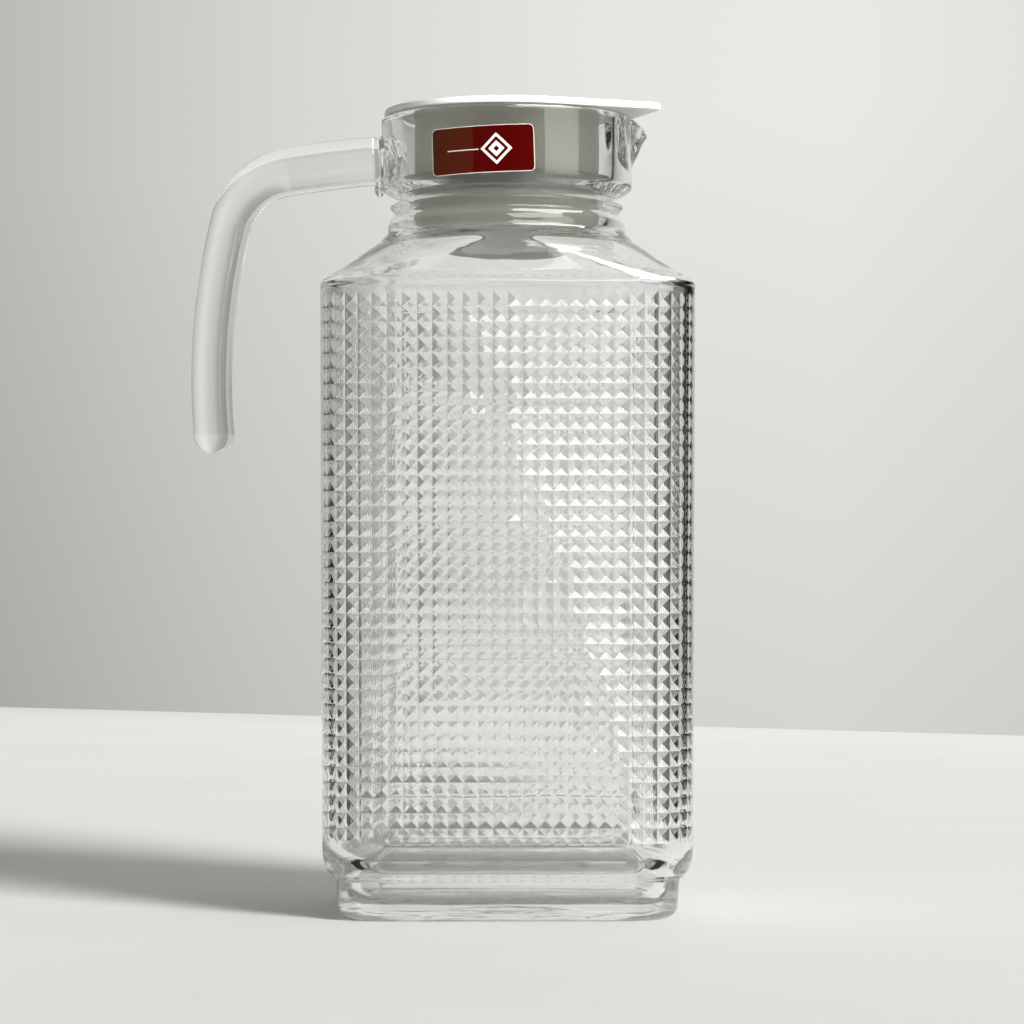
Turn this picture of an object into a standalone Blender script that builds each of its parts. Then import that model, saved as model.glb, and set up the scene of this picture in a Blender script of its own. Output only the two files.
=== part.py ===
"""Large water jug: pressed-glass body and handle, lift-off lid with its seal ring, and a label.

Metres, +Z up. The origin lies on the table plane, under the centre of the jug's bounding box.
The pouring beak points along +X, the handle along -X, and the label faces -Y.
"""
import math

import bmesh
import bpy

# ---- heights, stacked from the table upwards ----
FOOT_HEIGHT = 0.0126          # foot, up to the ledge under the body
HEEL_HEIGHT = 0.0142          # rounded lower edge of the body
WALL_HEIGHT = 0.1584          # upright walls
SHOULDER_HEIGHT = 0.0190      # slope from the square body to the round neck
NECK_HEIGHT = 0.0115
COLLAR_HEIGHT = 0.0238        # thick ring that carries the beak and the handle

# ---- body ----
BODY_WIDTH = 0.110            # across the flats, at the top of the walls
BODY_DRAFT = 0.0006           # how far each wall has leaned in when it reaches the heel
BODY_CORNER = 0.0155
WALL_THICKNESS = 0.0040
FOOT_INSET = 0.0046           # from the wall's lower edge in to the foot
FOOT_EDGE_RADIUS = 0.0042
FOOT_FLARE = 0.0006           # how much wider the foot is at the ledge than at its edge
FOOT_WALL = 0.0054
FLOOR_THICKNESS = 0.0050
FLOOR_EDGE = 0.0040           # rounding between the foot's inner wall and the floor
STANDING_RING_WIDTH = 0.0040
KICK_UP = 0.0034              # how far the middle of the base is domed up
LEDGE_WIDTH = 0.0016          # flat part of the ledge over the foot
SHOULDER_EDGE = 0.0023        # rounding between wall and shoulder
SHOULDER_TOP_OUT = 0.0028     # from the neck out to the curve where the shoulder meets it
SHOULDER_TOP_DROP = 0.0026    # from the foot of the neck down to that curve

# ---- collar and neck, from the collar inwards ----
COLLAR_RADIUS = 0.0380
COLLAR_WALL = 0.0060
COLLAR_CHAMFER = 0.0022       # height of the collar's slanted lower edge
COLLAR_UNDERCUT = 0.0040      # width of that edge
RIM_EDGE = 0.0012
BORE_STEP = 0.0017            # how much narrower the neck's bore is than the collar's
NECK_INSET = 0.0018           # from the collar in to the foot of the neck
NECK_RIDGE_INSET = 0.0026     # from the collar in to the ridge around the neck
NECK_GROOVE_DEPTH = 0.0022

# ---- beak ----
BEAK_REACH = 0.0048           # beyond the collar
BEAK_RADIUS = 0.0092
BEAK_ROOT_RADIUS = 0.0028
BEAK_HEIGHT = 0.0165
BEAK_WALL = 0.0028
BEAK_LIP_DROP = 0.0030        # below the rim

# ---- handle: arm, bend, then grip; headings are measured down from level ----
HANDLE_DEPTH = 0.0140         # across the rod in the plane of the handle, at the collar
HANDLE_GRIP_DEPTH = 0.0122
HANDLE_WIDTH = 0.0170
HANDLE_EDGE = 0.0045          # rounding of the rod's long edges
HANDLE_BELOW_RIM = 0.0054     # from the rim down to the top of the rod
HANDLE_ARM_LENGTH = 0.0286
HANDLE_BEND_RADIUS = 0.0217
HANDLE_GRIP_LENGTH = 0.0702
ARM_HEADING = math.radians(3.5)
BEND_HEADING = math.radians(9.6)
GRIP_HEADING = math.radians(76.3)
TIP_HEADING = math.radians(94.8)

# ---- lid, seal and label ----
LID_INSET = 0.0009            # from the collar in to the edge of the lid
LID_THICKNESS = 0.0021
LID_EDGE = 0.0006
TAB_LENGTH = 0.0129           # from the round edge of the lid to the tip of its tab
TAB_TIP_RADIUS = 0.0038
LID_TURN = math.radians(-24.5)    # how far the tab is turned from the beak
SKIRT_CLEARANCE = 0.0023      # from the neck's bore in to the skirt
SKIRT_WALL = 0.0015
SKIRT_DEPTH = 0.0364
RIB_WIDTH = 0.0012            # how far the ribs that hold the seal stand out
RIB_HEIGHT = 0.0010
SEAL_HEIGHT = 0.0028
SEAL_EDGE = 0.0008
LABEL_WIDTH = 0.0310          # straight across
LABEL_HEIGHT = 0.0140
LABEL_CORNER = 0.0016
LABEL_THICKNESS = 0.0002
LABEL_MARGIN = 0.0011         # from the collar's lower edge up to the label
LABEL_TURN = math.radians(-11.8)  # from the front, towards the handle
LABEL_TILT = math.radians(2.0)

# ---- clearances ----
TOUCH_GAP = 0.0003            # between pieces that touch
LID_GAP = 0.0004              # under the lid, above the rim
CUT_MARGIN = 0.0010           # how far a cutter runs past what it cuts

# ---- shares that place the levels of the glass ----
DOME_SHARES = (0.15, 0.45, 0.75)      # rings over the middle of a dome, outwards
DOME_CORNER_SHARE = 0.9               # roundest corner of a dome ring, of its half width
SLOPE_SHARES = (0.25, 0.5, 0.75)      # rings between the ends of a slope
SHOULDER_BEND_IN = 0.35               # of the shoulder's edge, in and up to the middle of its bend
SHOULDER_BEND_UP = 0.6
NECK_FLARE_SHARE = 0.25               # of the neck's height: end of the flare, groove, ridge, upper groove
NECK_GROOVE_SHARE = 0.50
NECK_RIDGE_SHARE = 0.72
NECK_TOP_SHARE = 0.86
LOWER_GROOVE_SHARE = 0.65             # depth of the lower groove, of the upper one
SLOPE_SHARE = 0.7                     # of the wall's thickness, down the shoulder on the inside
SLOPE_IN_SHARE = 0.4                  # of that drop, in to the inside edge
HEEL_IN_SHARE = 0.3                   # of the foot's edge radius, in at the hollow's heel
HEEL_UP_SHARE = 0.45                  # of the heel's height, up to that level
FLOOR_CORNER_SHARE = 0.5              # how much of the foot's step the hollow's corner follows
FLOOR_EDGE_SHARE = 0.3                # middle of the rounding round the floor
FLOOR_DOME_SHARES = (0.7, 0.4, 0.15)
TIP_SHARE = 0.96                      # how far round the handle's tip goes before it closes flat

# ---- mesh resolution ----
RING_STEPS = 40               # points around a ring of the body
TURN_STEPS = 40               # steps of a turned piece
CORNER_STEPS = 4              # steps around a small corner
GRIP_STEPS = 8                # points along the handle's arm, bend and grip, each
TIP_STEPS = 5                 # points along the handle's round tip

# ---- levels and places worked out from the sizes above ----
WALL_FOOT_Z = FOOT_HEIGHT + HEEL_HEIGHT
WALL_TOP_Z = WALL_FOOT_Z + WALL_HEIGHT
NECK_Z = WALL_TOP_Z + SHOULDER_HEIGHT
COLLAR_Z = NECK_Z + NECK_HEIGHT
COLLAR_FACE_Z = COLLAR_Z + COLLAR_CHAMFER
RIM_Z = COLLAR_Z + COLLAR_HEIGHT
LID_Z = RIM_Z + LID_GAP
SEAL_Z = COLLAR_FACE_Z + TOUCH_GAP
BODY_HALF = BODY_WIDTH / 2
HEEL_HALF = BODY_HALF - BODY_DRAFT
FOOT_HALF = HEEL_HALF - FOOT_INSET
FOOT_CORNER = BODY_CORNER - FOOT_INSET
COLLAR_BORE = COLLAR_RADIUS - COLLAR_WALL
NECK_BORE = COLLAR_BORE - BORE_STEP
NECK_RADIUS = COLLAR_RADIUS - NECK_INSET
RIDGE_RADIUS = COLLAR_RADIUS - NECK_RIDGE_INSET
LID_RADIUS = COLLAR_RADIUS - LID_INSET
SKIRT_RADIUS = NECK_BORE - SKIRT_CLEARANCE

PARTS = "water_jug"
GUIDES = "guides"


# ---------------------------------------------------------------- general tools

def clear_scene():
    """Remove every object that the file opens with."""
    for old in list(bpy.data.objects):
        bpy.data.objects.remove(old, do_unlink=True)


def collection(name):
    """A new collection, linked to the scene."""
    group = bpy.data.collections.new(name)
    bpy.context.scene.collection.children.link(group)
    return group


def material(name, colour, roughness, transmission=0.0):
    """A Principled material."""
    result = bpy.data.materials.new(name)
    result.use_nodes = True
    shader = result.node_tree.nodes["Principled BSDF"]
    shader.inputs["Base Color"].default_value = (*colour, 1.0)
    shader.inputs["Roughness"].default_value = roughness
    shader.inputs["Metallic"].default_value = 0.0
    shader.inputs["Transmission Weight"].default_value = transmission
    return result


def add_object(name, data, group):
    """A new object in the given collection."""
    result = bpy.data.objects.new(name, data)
    group.objects.link(result)
    return result


def as_mesh(source, name, group):
    """A welded mesh object with the evaluated shape of source, which is removed."""
    bpy.context.view_layer.update()
    evaluated = source.evaluated_get(bpy.context.evaluated_depsgraph_get())
    mesh = bpy.data.meshes.new_from_object(evaluated)
    shape = bmesh.new()
    shape.from_mesh(mesh)
    bmesh.ops.remove_doubles(shape, verts=shape.verts, dist=1e-6)
    bmesh.ops.recalc_face_normals(shape, faces=shape.faces)
    shape.to_mesh(mesh)
    shape.free()
    result = add_object(name, mesh, group)
    result.matrix_world = source.matrix_world.copy()
    bpy.data.objects.remove(source, do_unlink=True)
    return result


def guide(piece):
    """Mark a cutter or a guide, which is not a piece of the jug."""
    piece.hide_render = True
    piece.display_type = 'WIRE'
    return piece


def boolean(piece, other, operation):
    """Join, cut or intersect piece with other."""
    step = piece.modifiers.new(other.name, 'BOOLEAN')
    step.operation = operation
    step.solver = 'EXACT'
    step.object = other


def smooth(piece):
    """Shade a round piece smooth, with its sharp edges kept."""
    piece.data.shade_smooth()
    piece.data.set_sharp_from_angle(angle=math.radians(35.0))


def turned(name, profile, group):
    """A piece turned about Z from a closed profile of (radius, z), given down its outer side."""
    mesh = bpy.data.meshes.new(name)
    points = [(radius, 0.0, height) for radius, height in profile]
    edges = [(index, (index + 1) % len(points)) for index in range(len(points))]
    mesh.from_pydata(points, edges, [])
    result = add_object(name, mesh, group)
    screw = result.modifiers.new("turn", 'SCREW')
    screw.axis = 'Z'
    screw.steps = TURN_STEPS
    screw.render_steps = TURN_STEPS
    screw.use_merge_vertices = True
    screw.merge_threshold = 1e-5
    return result


def arc(centre, radius, start, end, steps):
    """Points of an arc from angle start to angle end, both included."""
    result = []
    for step in range(steps + 1):
        angle = start + (end - start) * step / steps
        result.append((centre[0] + radius * math.cos(angle), centre[1] + radius * math.sin(angle)))
    return result


def rounded_rectangle(width, height, corner):
    """Outline of a rectangle with round corners, centred on the origin."""
    result = []
    for quarter in range(4):
        start = quarter * math.pi / 2
        middle = start + math.pi / 4
        side_x = math.copysign(width / 2 - corner, math.cos(middle))
        side_y = math.copysign(height / 2 - corner, math.sin(middle))
        result += arc((side_x, side_y), corner, start, start + math.pi / 2, CORNER_STEPS)
    return result


def poly_curve(name, points, cyclic, group):
    """A curve object through straight-joined points."""
    curve = bpy.data.curves.new(name, 'CURVE')
    spline = curve.splines.new('POLY')
    spline.points.add(len(points) - 1)
    for point, place in zip(spline.points, points):
        point.co = (*place, 1.0)
    spline.use_cyclic_u = cyclic
    return add_object(name, curve, group)


def plate(name, points, thickness, group):
    """A flat outline in the XY plane, thickened evenly to both sides."""
    flat = poly_curve(name + "_outline", [(x, y, 0.0) for x, y in points], True, group)
    flat.data.dimensions = '2D'
    flat.data.fill_mode = 'BOTH'
    flat.data.extrude = thickness / 2
    return as_mesh(flat, name, group)


# ---------------------------------------------------------------- glass body

def square_ring(half, corner, height):
    """A ring of points on a square with round corners; corner equal to half gives a circle."""
    reach = corner / math.cos(math.pi / RING_STEPS)
    ring = []
    for step in range(RING_STEPS):
        angle = (step + 0.5) * 2 * math.pi / RING_STEPS
        x = math.copysign(half - corner, math.cos(angle)) + reach * math.cos(angle)
        y = math.copysign(half - corner, math.sin(angle)) + reach * math.sin(angle)
        ring.append((x, y, height))
    return ring


def circle_level(radius, height):
    """A level whose ring is a circle."""
    return (radius, radius, height)


def mix(low, high, share):
    """The level between two levels."""
    return tuple(a + (b - a) * share for a, b in zip(low, high))


def dome_levels(half, corner, height, shares):
    """Levels over a shallow dome that ends at the given half width and height."""
    levels = []
    for share in shares:
        width = half * share
        levels.append((width, min(corner, width * DOME_CORNER_SHARE), height + KICK_UP * math.cos(share * math.pi / 2)))
    return levels


def foot_levels():
    """Underside of the foot, its standing ring, and its outside up to the ledge."""
    ring_outer = FOOT_HALF - FOOT_EDGE_RADIUS
    ring_inner = ring_outer - STANDING_RING_WIDTH
    levels = dome_levels(ring_inner, FOOT_CORNER, 0.0, DOME_SHARES)
    levels.append((ring_inner, FOOT_CORNER, 0.0))
    levels.append((ring_outer, FOOT_CORNER, 0.0))
    for step in (1, 2, 3):
        angle = step * math.pi / 6
        half = ring_outer + FOOT_EDGE_RADIUS * math.sin(angle)
        levels.append((half, FOOT_CORNER, FOOT_EDGE_RADIUS * (1 - math.cos(angle))))
    levels.append((FOOT_HALF + FOOT_FLARE, FOOT_CORNER, FOOT_HEIGHT))
    return levels


def heel_levels():
    """Rounded lower edge of the body, from the ledge up to the walls."""
    inset = FOOT_INSET - LEDGE_WIDTH
    lift = CUT_MARGIN / 2
    levels = []
    for step in range(5):
        angle = step * math.pi / 8
        back = inset * (1 - math.sin(angle))
        height = FOOT_HEIGHT + lift + (HEEL_HEIGHT - lift) * (1 - math.cos(angle))
        levels.append((HEEL_HALF - back, BODY_CORNER - back, height))
    return levels


def shoulder_levels():
    """Slope from the top of the walls to the neck."""
    bend_half = BODY_HALF - SHOULDER_EDGE * SHOULDER_BEND_IN
    middle = (bend_half, BODY_CORNER, WALL_TOP_Z + SHOULDER_EDGE * SHOULDER_BEND_UP)
    edge = (BODY_HALF - SHOULDER_EDGE, BODY_CORNER, WALL_TOP_Z + SHOULDER_EDGE)
    top = circle_level(NECK_RADIUS + SHOULDER_TOP_OUT, NECK_Z - SHOULDER_TOP_DROP)
    levels = [(BODY_HALF, BODY_CORNER, WALL_TOP_Z), middle, edge]
    levels += [mix(edge, top, share) for share in SLOPE_SHARES]
    levels += [top, circle_level(NECK_RADIUS, NECK_Z)]
    return levels


def neck_levels():
    """Neck with a groove, a sharp ridge, and a deeper groove under the collar."""
    low = RIDGE_RADIUS - NECK_GROOVE_DEPTH * LOWER_GROOVE_SHARE
    high = RIDGE_RADIUS - NECK_GROOVE_DEPTH
    stations = ((NECK_RADIUS, NECK_FLARE_SHARE), (low, NECK_GROOVE_SHARE),
                (RIDGE_RADIUS, NECK_RIDGE_SHARE), (high, NECK_TOP_SHARE))
    return [circle_level(radius, NECK_Z + NECK_HEIGHT * share) for radius, share in stations]


def collar_levels():
    """Outside of the collar, up to the rim."""
    return [
        circle_level(COLLAR_RADIUS - COLLAR_UNDERCUT, COLLAR_Z),
        circle_level(COLLAR_RADIUS, COLLAR_FACE_Z),
        circle_level(COLLAR_RADIUS, RIM_Z - RIM_EDGE),
        circle_level(COLLAR_RADIUS - RIM_EDGE, RIM_Z),
    ]


def hollow_levels():
    """The space inside the jug, from above the rim down to the floor."""
    slope = WALL_THICKNESS * SLOPE_SHARE
    corner = BODY_CORNER - WALL_THICKNESS
    floor_corner = corner - (FOOT_WALL + FOOT_INSET - WALL_THICKNESS) * FLOOR_CORNER_SHARE
    wall_half = BODY_HALF - WALL_THICKNESS
    heel_half = HEEL_HALF - WALL_THICKNESS
    floor_half = FOOT_HALF - FOOT_WALL
    flat_half = floor_half - FLOOR_EDGE
    edge = (wall_half - slope * SLOPE_IN_SHARE, corner, WALL_TOP_Z + SHOULDER_EDGE - slope)
    bore = circle_level(NECK_BORE, NECK_Z)
    levels = [
        circle_level(COLLAR_BORE + RIM_EDGE + CUT_MARGIN, RIM_Z + CUT_MARGIN),
        circle_level(COLLAR_BORE, RIM_Z - RIM_EDGE),
        circle_level(COLLAR_BORE, COLLAR_FACE_Z),
        circle_level(NECK_BORE, COLLAR_FACE_Z),
        bore,
    ]
    levels += [mix(bore, edge, share) for share in SLOPE_SHARES]
    levels += [
        edge,
        (wall_half, corner, WALL_TOP_Z - slope),
        (heel_half, corner, WALL_FOOT_Z),
        (heel_half - FOOT_EDGE_RADIUS * HEEL_IN_SHARE, corner, FOOT_HEIGHT + HEEL_HEIGHT * HEEL_UP_SHARE),
        (floor_half, floor_corner, FOOT_HEIGHT),
        (floor_half, floor_corner, FLOOR_THICKNESS + FLOOR_EDGE),
        (floor_half - FLOOR_EDGE * FLOOR_EDGE_SHARE, floor_corner, FLOOR_THICKNESS + FLOOR_EDGE * FLOOR_EDGE_SHARE),
        (flat_half, floor_corner, FLOOR_THICKNESS),
    ]
    levels += dome_levels(flat_half, floor_corner, FLOOR_THICKNESS, FLOOR_DOME_SHARES)
    return levels


def loft(name, levels, group):
    """A closed skin through square rings, with a flat face at each end."""
    shape = bmesh.new()
    rings = []
    for level in levels:
        rings.append([shape.verts.new(point) for point in square_ring(*level)])
    for lower, upper in zip(rings, rings[1:]):
        for index in range(RING_STEPS):
            after = (index + 1) % RING_STEPS
            shape.faces.new((lower[index], lower[after], upper[after], upper[index]))
    shape.faces.new(list(reversed(rings[0])))
    shape.faces.new(rings[-1])
    bmesh.ops.recalc_face_normals(shape, faces=shape.faces)
    mesh = bpy.data.meshes.new(name)
    shape.to_mesh(mesh)
    shape.free()
    result = add_object(name, mesh, group)
    result.location.x = AXIS_X
    return result


def beak_cone(name, root_radius, lip_radius, height, lip_z, group):
    """An upside-down cone for the beak or its channel, with its wide end at lip_z."""
    bpy.ops.mesh.primitive_cone_add(vertices=24, radius1=root_radius, radius2=lip_radius, depth=height)
    result = bpy.context.active_object
    result.name = name
    for old in list(result.users_collection):
        old.objects.unlink(result)
    group.objects.link(result)
    centre_x = AXIS_X + COLLAR_RADIUS + BEAK_REACH - BEAK_RADIUS
    result.location = (centre_x, 0.0, lip_z - height / 2)
    return guide(result)


def glass_body(parts, guides, finish):
    """Jug body, open at the rim, with the pouring beak on its collar."""
    outside = foot_levels() + heel_levels() + shoulder_levels() + neck_levels() + collar_levels()
    body = loft("glass_body", outside, parts)
    hollow = guide(loft("hollow", hollow_levels(), guides))
    beak_lip_z = RIM_Z - BEAK_LIP_DROP
    beak = beak_cone("beak", BEAK_ROOT_RADIUS, BEAK_RADIUS, BEAK_HEIGHT, beak_lip_z, guides)
    taper = (BEAK_RADIUS - BEAK_ROOT_RADIUS) / BEAK_HEIGHT
    extra = BEAK_LIP_DROP + CUT_MARGIN
    channel_lip = BEAK_RADIUS - BEAK_WALL + taper * extra
    channel_height = BEAK_HEIGHT + extra - BEAK_WALL
    channel_root = max(channel_lip - taper * channel_height, CUT_MARGIN)
    channel = beak_cone("channel", channel_root, channel_lip, channel_height, RIM_Z + CUT_MARGIN, guides)
    boolean(body, beak, 'UNION')
    boolean(body, hollow, 'DIFFERENCE')
    boolean(body, channel, 'DIFFERENCE')
    body.data.materials.append(finish)
    smooth(body)


# ---------------------------------------------------------------- handle

def run_on(path, start_heading, end_heading, length):
    """Carry a path of (x, z, share along this run) on, while its heading turns evenly."""
    x, z = path[-1][:2]
    for step in range(GRIP_STEPS):
        share = (step + 0.5) / GRIP_STEPS
        heading = start_heading + (end_heading - start_heading) * share
        x -= math.cos(heading) * length / GRIP_STEPS
        z -= math.sin(heading) * length / GRIP_STEPS
        path.append((x, z, (step + 1) / GRIP_STEPS))


def handle_path():
    """Middle of the rod as (x from the jug's axis, z, size of the rod there as a share)."""
    grip_size = HANDLE_GRIP_DEPTH / HANDLE_DEPTH
    root_z = RIM_Z - HANDLE_BELOW_RIM - HANDLE_DEPTH / 2
    path = [(-COLLAR_RADIUS, root_z, 0.0)]
    run_on(path, ARM_HEADING, BEND_HEADING, HANDLE_ARM_LENGTH)
    arm = len(path)
    run_on(path, BEND_HEADING, GRIP_HEADING, HANDLE_BEND_RADIUS * (GRIP_HEADING - BEND_HEADING))
    bend = len(path)
    tip_length = HANDLE_GRIP_DEPTH / 2
    run_on(path, GRIP_HEADING, TIP_HEADING, HANDLE_GRIP_LENGTH - tip_length)

    inner_x = -COLLAR_RADIUS + COLLAR_WALL
    sized = [(inner_x, root_z + (inner_x + COLLAR_RADIUS) * math.sin(ARM_HEADING), 1.0)]
    for index, (x, z, share) in enumerate(path):
        if index < arm:
            size = 1.0
        elif index < bend:
            size = 1.0 + (grip_size - 1.0) * share
        else:
            size = grip_size
        sized.append((x, z, size))
    x, z = path[-1][:2]
    for step in range(1, TIP_STEPS + 1):
        angle = step / TIP_STEPS * math.pi / 2 * TIP_SHARE
        along = tip_length * math.sin(angle)
        place_x = x - along * math.cos(TIP_HEADING)
        sized.append((place_x, z - along * math.sin(TIP_HEADING), grip_size * math.cos(angle)))
    return sized


def glass_handle(parts, guides, finish):
    """Solid glass rod that leaves the collar, bends down and ends free in a round tip."""
    outline = rounded_rectangle(HANDLE_WIDTH, HANDLE_DEPTH, HANDLE_EDGE)
    section = poly_curve("handle_section", [(x, y, 0.0) for x, y in outline], True, guides)
    section.data.dimensions = '2D'
    path = handle_path()
    rod = poly_curve("handle_rod", [(x, 0.0, z) for x, z, size in path], False, guides)
    rod.data.dimensions = '3D'
    rod.data.twist_mode = 'MINIMUM'
    rod.data.bevel_mode = 'OBJECT'
    rod.data.bevel_object = section
    rod.data.use_fill_caps = True
    for point, place in zip(rod.data.splines[0].points, path):
        point.radius = place[2]
    rod.location.x = AXIS_X
    handle = as_mesh(rod, "glass_handle", parts)
    guide(section)

    low = RIM_Z - HANDLE_BELOW_RIM - HANDLE_DEPTH * 2
    radius = COLLAR_RADIUS + TOUCH_GAP
    seat = [(radius, RIM_Z + HANDLE_DEPTH), (radius, low), (0.0, low), (0.0, RIM_Z + HANDLE_DEPTH)]
    collar_space = guide(turned("collar_space", seat, guides))
    collar_space.location.x = AXIS_X
    boolean(handle, collar_space, 'DIFFERENCE')
    handle.data.materials.append(finish)
    smooth(handle)


# ---------------------------------------------------------------- lid, seal and label

def lid_outline():
    """Round lid whose edge runs tangent into a pointed tab along +X."""
    tip_x = LID_RADIUS + TAB_LENGTH - TAB_TIP_RADIUS
    meet = math.acos((LID_RADIUS - TAB_TIP_RADIUS) / tip_x)
    points = arc((tip_x, 0.0), TAB_TIP_RADIUS, -meet, meet, CORNER_STEPS * 2)
    points += arc((0.0, 0.0), LID_RADIUS, meet, 2 * math.pi - meet, TURN_STEPS)
    return points


def skirt_profile():
    """Section of the lid's skirt, with two ribs that hold the seal between them."""
    top = LID_THICKNESS / 2
    lower_rib = SEAL_Z - TOUCH_GAP - RIB_HEIGHT - LID_Z
    upper_rib = SEAL_Z + SEAL_HEIGHT + TOUCH_GAP - LID_Z
    return [
        (SKIRT_RADIUS, top),
        (SKIRT_RADIUS, upper_rib + RIB_HEIGHT),
        (SKIRT_RADIUS + RIB_WIDTH, upper_rib + RIB_HEIGHT),
        (SKIRT_RADIUS + RIB_WIDTH, upper_rib),
        (SKIRT_RADIUS, upper_rib),
        (SKIRT_RADIUS, lower_rib + RIB_HEIGHT),
        (SKIRT_RADIUS + RIB_WIDTH, lower_rib + RIB_HEIGHT),
        (SKIRT_RADIUS + RIB_WIDTH, lower_rib),
        (SKIRT_RADIUS, lower_rib),
        (SKIRT_RADIUS, -SKIRT_DEPTH),
        (SKIRT_RADIUS - SKIRT_WALL, -SKIRT_DEPTH),
        (SKIRT_RADIUS - SKIRT_WALL, top),
    ]


def lid(parts, guides, finish):
    """Flat lid with a pouring tab and a deep skirt, turned on the jug's axis."""
    result = plate("lid", lid_outline(), LID_THICKNESS, parts)
    for vertex in result.data.vertices:
        vertex.co.z += LID_THICKNESS / 2
    result.location = (AXIS_X, 0.0, LID_Z)
    result.rotation_euler.z = LID_TURN
    edge = result.modifiers.new("edge", 'BEVEL')
    edge.width = LID_EDGE
    edge.segments = 2
    edge.limit_method = 'ANGLE'
    edge.angle_limit = math.radians(60.0)
    skirt = guide(turned("skirt", skirt_profile(), guides))
    skirt.location = result.location
    skirt.rotation_euler = result.rotation_euler
    boolean(result, skirt, 'UNION')
    result.data.materials.append(finish)
    smooth(result)


def lid_seal(parts, finish):
    """Soft ring between the lid's ribs, which slides in the collar's bore."""
    outer = COLLAR_BORE - TOUCH_GAP
    inner = SKIRT_RADIUS + TOUCH_GAP
    profile = [
        (outer - SEAL_EDGE, SEAL_HEIGHT),
        (outer, SEAL_HEIGHT - SEAL_EDGE),
        (outer, SEAL_EDGE),
        (outer - SEAL_EDGE, 0.0),
        (inner, 0.0),
        (inner, SEAL_HEIGHT),
    ]
    ring = turned("lid_seal", profile, parts)
    ring.location = (AXIS_X, 0.0, SEAL_Z)
    ring.data.materials.append(finish)
    smooth(ring)


def label(parts, guides, finish):
    """Thin label that follows the collar's front."""
    inner = COLLAR_RADIUS + TOUCH_GAP
    outer = inner + LABEL_THICKNESS
    reach = LABEL_HEIGHT
    band = [(outer, reach), (outer, -reach), (inner, -reach), (inner, reach)]
    result = turned("label", band, parts)
    middle_z = COLLAR_FACE_Z + LABEL_MARGIN + LABEL_HEIGHT / 2
    result.location = (AXIS_X, 0.0, middle_z)
    shape = rounded_rectangle(LABEL_WIDTH, LABEL_HEIGHT, LABEL_CORNER)
    window = guide(plate("label_window", shape, COLLAR_RADIUS, guides))
    window.rotation_euler = (math.pi / 2, LABEL_TILT, LABEL_TURN)
    middle_y = -COLLAR_RADIUS * math.cos(LABEL_TURN)
    window.location = (AXIS_X + COLLAR_RADIUS * math.sin(LABEL_TURN), middle_y, middle_z)
    boolean(result, window, 'INTERSECT')
    result.data.materials.append(finish)
    smooth(result)


# ---------------------------------------------------------------- whole jug

AXIS_X = -(BODY_HALF + min(x - HANDLE_DEPTH / 2 * size for x, z, size in handle_path())) / 2


def build():
    """Model every piece of the jug."""
    clear_scene()
    parts = collection(PARTS)
    guides = collection(GUIDES)
    glass_body(parts, guides, material("body_glass", (0.93, 0.96, 0.95), 0.03, 1.0))
    glass_handle(parts, guides, material("handle_glass", (0.94, 0.97, 0.96), 0.02, 1.0))
    lid(parts, guides, material("lid_plastic", (0.90, 0.90, 0.88), 0.35))
    lid_seal(parts, material("seal_rubber", (0.85, 0.86, 0.84), 0.5))
    label(parts, guides, material("label_film", (0.10, 0.002, 0.002), 0.2))


build()
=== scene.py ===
"""Looks of the large water jug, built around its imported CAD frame.

Metres, +Z up, in the frame's own coordinates: the beak points along +X, the handle along -X and
the label faces -Y. The shapes are made around the jug's upright axis and then moved to it.
"""
import math

import bmesh
import bpy
import numpy as np
from mathutils import Matrix, Vector

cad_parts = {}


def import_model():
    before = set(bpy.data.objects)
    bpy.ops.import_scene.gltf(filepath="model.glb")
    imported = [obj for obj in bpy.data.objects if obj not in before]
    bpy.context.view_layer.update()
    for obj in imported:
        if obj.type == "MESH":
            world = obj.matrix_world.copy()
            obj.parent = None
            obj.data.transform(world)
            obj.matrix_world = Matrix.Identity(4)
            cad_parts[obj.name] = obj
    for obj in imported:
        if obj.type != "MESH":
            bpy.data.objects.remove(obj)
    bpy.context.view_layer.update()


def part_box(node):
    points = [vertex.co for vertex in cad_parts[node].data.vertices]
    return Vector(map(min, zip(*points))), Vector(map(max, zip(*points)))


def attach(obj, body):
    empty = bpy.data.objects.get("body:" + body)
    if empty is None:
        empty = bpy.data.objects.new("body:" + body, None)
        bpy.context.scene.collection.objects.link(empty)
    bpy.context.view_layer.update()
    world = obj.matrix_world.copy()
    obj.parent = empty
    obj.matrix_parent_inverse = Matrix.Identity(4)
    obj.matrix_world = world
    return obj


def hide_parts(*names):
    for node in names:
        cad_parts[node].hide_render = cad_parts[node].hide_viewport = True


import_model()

# ---- places read from the frame ----
BODY_LOW, BODY_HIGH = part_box("glass_body")
LID_TOP_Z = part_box("lid")[1].z
SEAL_LOW, SEAL_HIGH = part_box("lid_seal")
AXIS_X = (BODY_LOW.x + BODY_HIGH.x) / 2
HALF = (BODY_HIGH.y - BODY_LOW.y) / 2
RIM_Z = BODY_HIGH.z

# ---- glass body ----
FOOT_Z = 0.0126              # ledge over the foot
FOOT_EDGE = 0.0042           # rounding of the foot's lower edge
FOOT_RING = 0.0040           # width of the ring the jug stands on
FOOT_CORNER = 0.0110
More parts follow.
